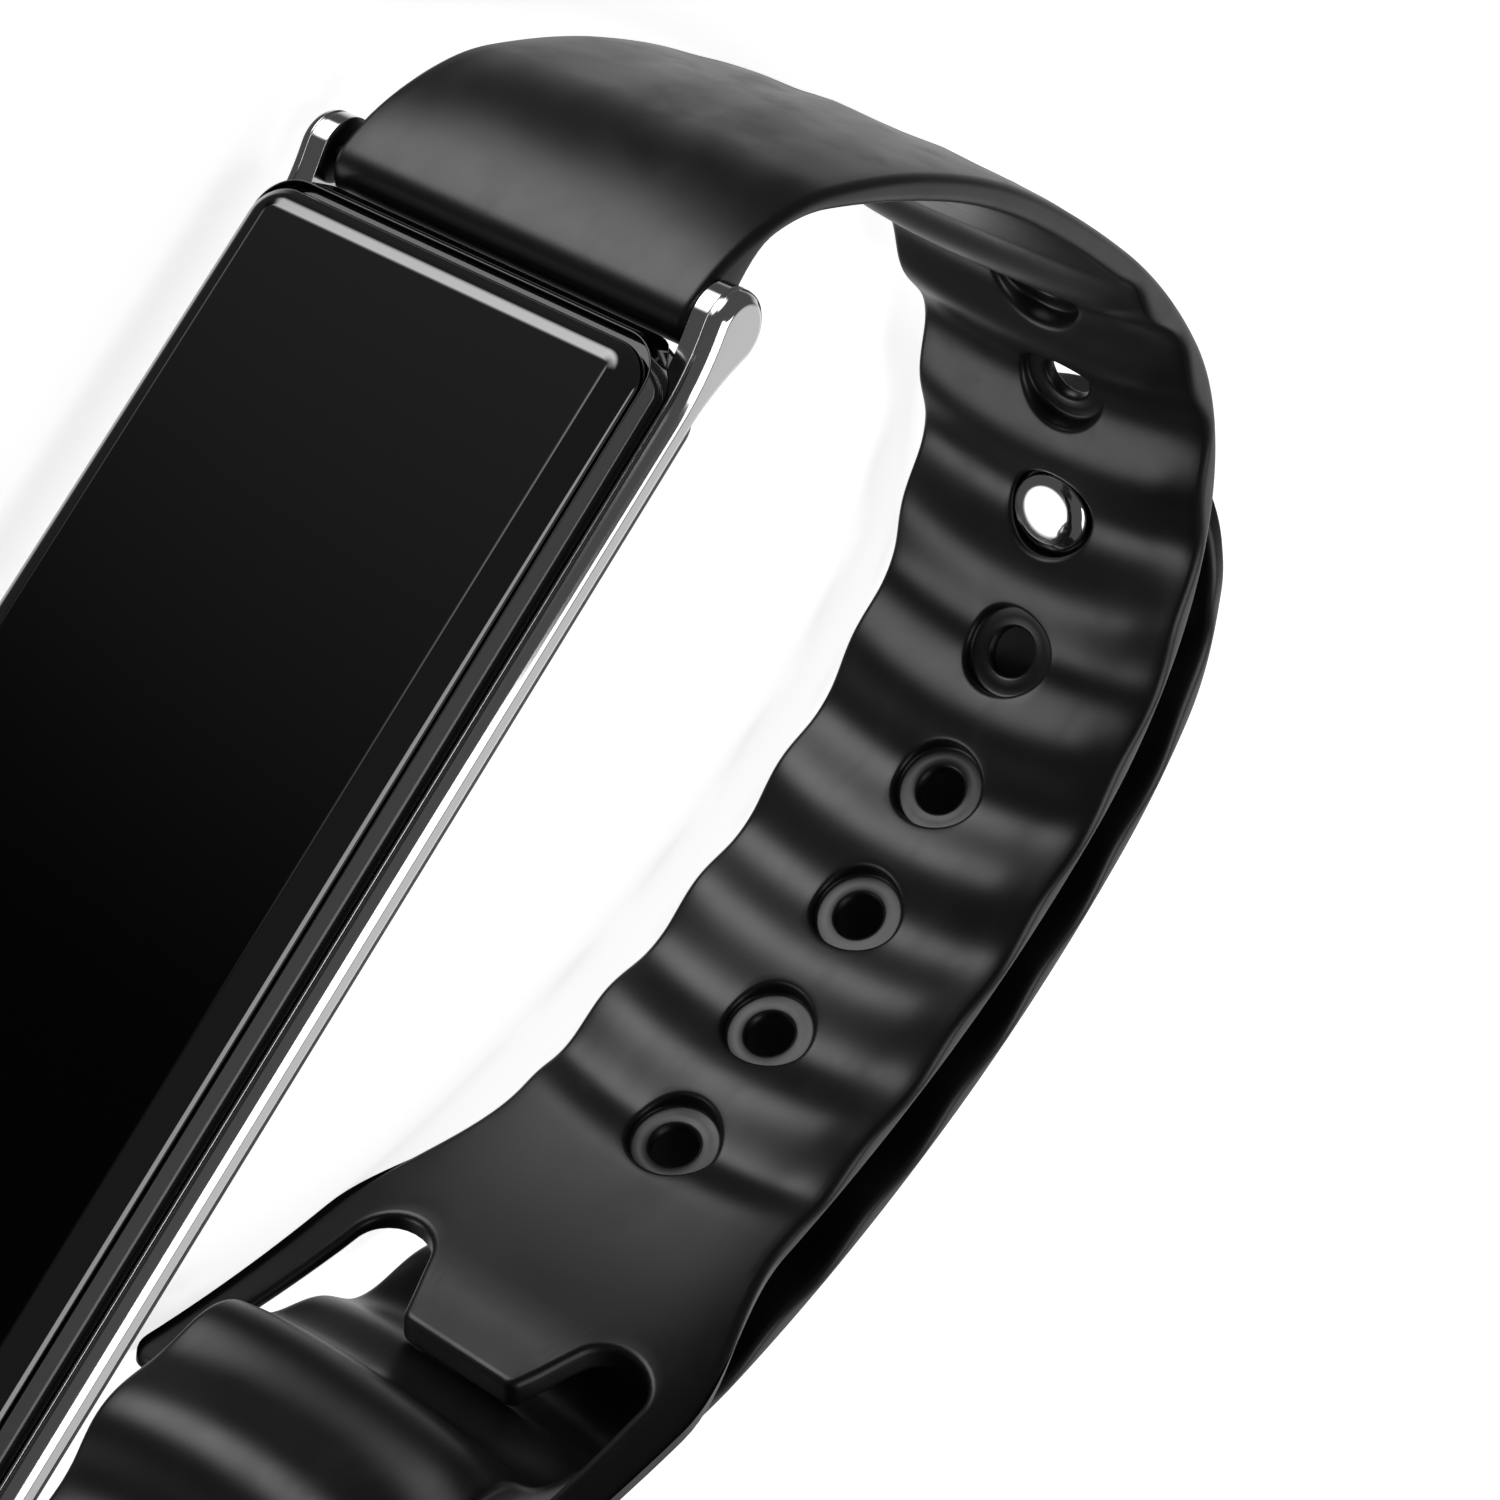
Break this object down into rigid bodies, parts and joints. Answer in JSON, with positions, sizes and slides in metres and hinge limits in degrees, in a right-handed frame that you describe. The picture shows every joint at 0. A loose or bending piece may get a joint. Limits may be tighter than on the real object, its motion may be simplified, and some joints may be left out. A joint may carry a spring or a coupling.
{
  "type": "fitness tracker band",
  "caption": "Slim wrist tracker: glass-fronted module with polished side rails and lugs on a black moulded strap with adjustment holes, slotted loop end and push-in stud.",
  "frame": {"origin": "centre of the band's box, at the level of the loop frame's side that the band lies on", "axes": "+X along the module from the holed strap's lug to the tail strap's lug, +Y from the display towards the wrist, +Z along the wrist axis, up when the band lies on its side"},
  "size_m": [0.0724, 0.0562, 0.0186],
  "materials": {
    "black_glass": "polished",
    "display": "gloss",
    "black_rubber": "matt",
    "flex_circuit": "satin",
    "gloss_black": "gloss",
    "polished_steel": "polished",
    "screw_steel": "satin",
    "circuit_board": "satin",
    "chip_black": "matt",
    "shield_metal": "satin",
    "battery_foil": "satin",
    "satin_black": "satin",
    "sensor_glass": "polished",
    "led_lens": "gloss",
    "gold_contact": "polished",
    "strap_black": "satin"
  },
  "bodies": {
    "module": {"cover_glass": "black_glass", "glass_gasket": "black_rubber", "display_panel": "display", "display_flex": "flex_circuit", "mid_frame": "gloss_black", "side_rail_right": "polished_steel", "side_rail_left": "polished_steel", "rail_screws": "screw_steel", "main_board": "circuit_board", "board_chips": "chip_black", "shield_can": "shield_metal", "antenna": "flex_circuit", "battery": "battery_foil", "battery_foam": "black_rubber", "motor_can": "shield_metal", "back_cover": "satin_black", "back_seal": "black_rubber", "sensor_window": "sensor_glass", "sensor_board": "circuit_board", "sensor_leds": "led_lens", "photodiode": "chip_black", "charging_contacts": "gold_contact", "case_screws": "screw_steel"},
    "motor_rotor": {"motor_weight": "screw_steel"},
    "strap": {"upper_bar_tube": "screw_steel", "upper_bar_spring": "screw_steel", "strap_root": "strap_black", "strap_arch": "strap_black", "strap_holes": "strap_black", "strap_loop": "strap_black", "lower_strap_throat": "strap_black", "tail_base": "strap_black"},
    "lower_strap": {"lower_strap_root": "strap_black", "lower_bar_tube": "screw_steel", "lower_bar_spring": "screw_steel"},
    "tail": {"tail_end": "strap_black", "stud_post": "polished_steel", "stud_plate": "screw_steel"},
    "upper_tip_right": {"upper_bar_tip_right": "screw_steel"},
    "upper_tip_left": {"upper_bar_tip_left": "screw_steel"},
    "lower_tip_right": {"lower_bar_tip_right": "screw_steel"},
    "lower_tip_left": {"lower_bar_tip_left": "screw_steel"}
  },
  "joints": [
    {"name": "strap_swing", "type": "hinge", "parent": "module", "child": "strap", "pos_m": [-0.02014, -0.02534, 0.0093], "axis": [0, 0, 1], "range_deg": [0, 70]},
    {"name": "lower_strap_flex", "type": "hinge", "parent": "strap", "child": "lower_strap", "pos_m": [0.02947, 0.00192, 0.0093], "axis": [0, 0, 1], "range_deg": [0, 30], "stiffness_Nm_per_rad": 0.004, "deforming": ["lower_strap_root", "lower_strap_throat"]},
    {"name": "tail_peel", "type": "hinge", "parent": "strap", "child": "tail", "pos_m": [-0.00856, 0.02639, 0.0093], "axis": [0, 0, -1], "range_deg": [0, 35], "stiffness_Nm_per_rad": 0.004, "deforming": ["tail_end", "tail_base", "strap_holes"]},
    {"name": "motor_spin", "type": "hinge", "parent": "module", "child": "motor_rotor", "pos_m": [0.01766, -0.02394, 0.0093], "axis": [0, 1, 0], "continuous": true},
    {"name": "upper_tip_right_press", "type": "slide", "parent": "strap", "child": "upper_tip_right", "axis": [0, 0, -1], "range_m": [0, 0.0008], "stiffness_N_per_m": 150, "springref_m": -0.002, "deforming": ["upper_bar_spring"]},
    {"name": "lower_tip_right_press", "type": "slide", "parent": "lower_strap", "child": "lower_tip_right", "axis": [0, 0, -1], "range_m": [0, 0.0008], "stiffness_N_per_m": 150, "springref_m": -0.002, "deforming": ["lower_bar_spring"]},
    {"name": "upper_tip_left_press", "type": "slide", "parent": "strap", "child": "upper_tip_left", "axis": [0, 0, 1], "range_m": [0, 0.0008], "stiffness_N_per_m": 150, "springref_m": -0.002, "deforming": ["upper_bar_spring"]},
    {"name": "lower_tip_left_press", "type": "slide", "parent": "lower_strap", "child": "lower_tip_left", "axis": [0, 0, 1], "range_m": [0, 0.0008], "stiffness_N_per_m": 150, "springref_m": -0.002, "deforming": ["lower_bar_spring"]}
  ]
}
